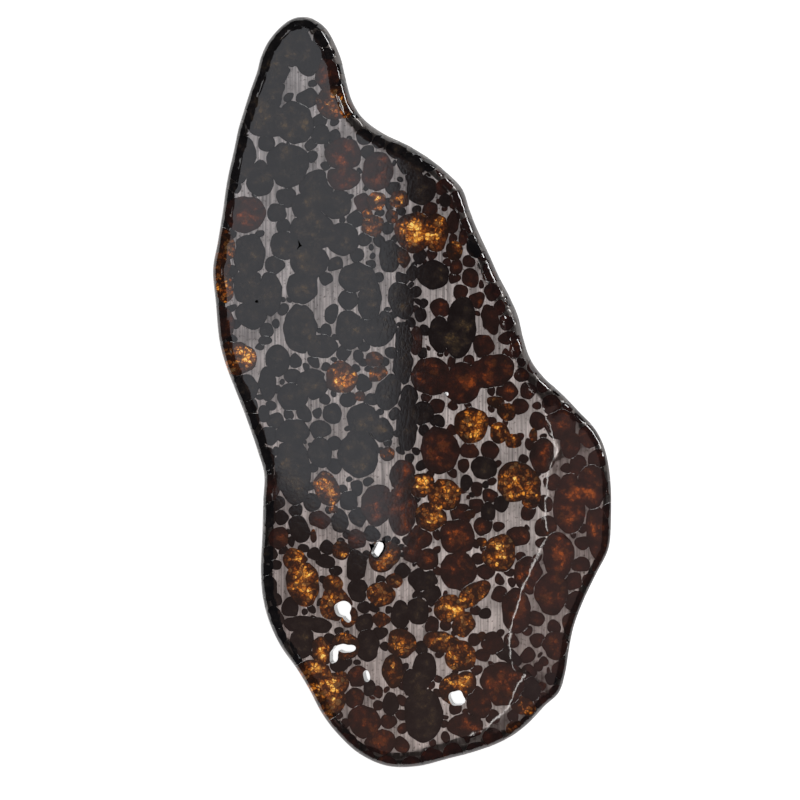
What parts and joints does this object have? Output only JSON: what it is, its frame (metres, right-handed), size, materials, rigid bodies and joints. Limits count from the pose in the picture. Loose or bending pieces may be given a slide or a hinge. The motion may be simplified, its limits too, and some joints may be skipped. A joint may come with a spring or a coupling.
{
  "type": "pallasite meteorite slice",
  "caption": "Polished slice of a pallasite meteorite: rounded amber, brown and dark olivine crystals set in a nickel-iron network.",
  "frame": {"origin": "centre of the slice's length and width, on the plane of its back face", "axes": "+Y along the slice towards its narrow tip, +X towards the wide ground flank, +Z out of the polished front face"},
  "size_m": [0.0806, 0.1508, 0.004],
  "materials": {
    "metal": "polished nickel-iron with fine lapping streaks",
    "amber": "polished see-through amber olivine",
    "brown": "polished red-brown olivine, see-through at thin edges",
    "dark": "polished dark olivine that lets little light through"
  },
  "bodies": {
    "root": {"amber_olivine_01": "amber", "amber_olivine_02": "amber", "amber_olivine_03": "amber", "amber_olivine_04": "amber", "amber_olivine_05": "amber", "amber_olivine_06": "amber", "amber_olivine_07": "amber", "amber_olivine_08": "amber", "amber_olivine_09": "amber", "amber_olivine_10": "amber", "amber_olivine_11": "amber", "amber_olivine_12": "amber", "amber_olivine_13": "amber", "amber_olivine_14": "amber", "amber_olivine_15": "amber", "amber_olivine_16": "amber", "amber_olivine_17": "amber", "amber_olivine_18": "amber", "amber_olivine_19": "amber", "amber_olivine_20": "amber", "brown_olivine_01": "brown", "brown_olivine_02": "brown", "brown_olivine_03": "brown", "brown_olivine_04": "brown", "brown_olivine_05": "brown", "brown_olivine_06": "brown", "brown_olivine_07": "brown", "brown_olivine_08": "brown", "brown_olivine_09": "brown", "brown_olivine_10": "brown", "brown_olivine_11": "brown", "brown_olivine_12": "brown", "brown_olivine_13": "brown", "brown_olivine_14": "brown", "brown_olivine_15": "brown", "brown_olivine_16": "brown", "dark_olivine_01": "dark", "dark_olivine_02": "dark", "dark_olivine_03": "dark", "dark_olivine_04": "dark", "dark_olivine_05": "dark", "dark_olivine_06": "dark", "dark_olivine_07": "dark", "dark_olivine_08": "dark", "dark_olivine_09": "dark", "dark_olivine_10": "dark", "dark_olivine_11": "dark", "dark_olivine_12": "dark", "dark_olivine_13": "dark", "dark_olivine_14": "dark", "dark_olivine_15": "dark", "dark_olivine_16": "dark", "dark_olivine_17": "dark", "dark_olivine_18": "dark", "dark_olivine_19": "dark", "dark_olivine_20": "dark", "dark_olivine_21": "dark", "dark_olivine_22": "dark", "dark_olivine_23": "dark", "nickel_iron_matrix": "metal"}
  },
  "joints": []
}
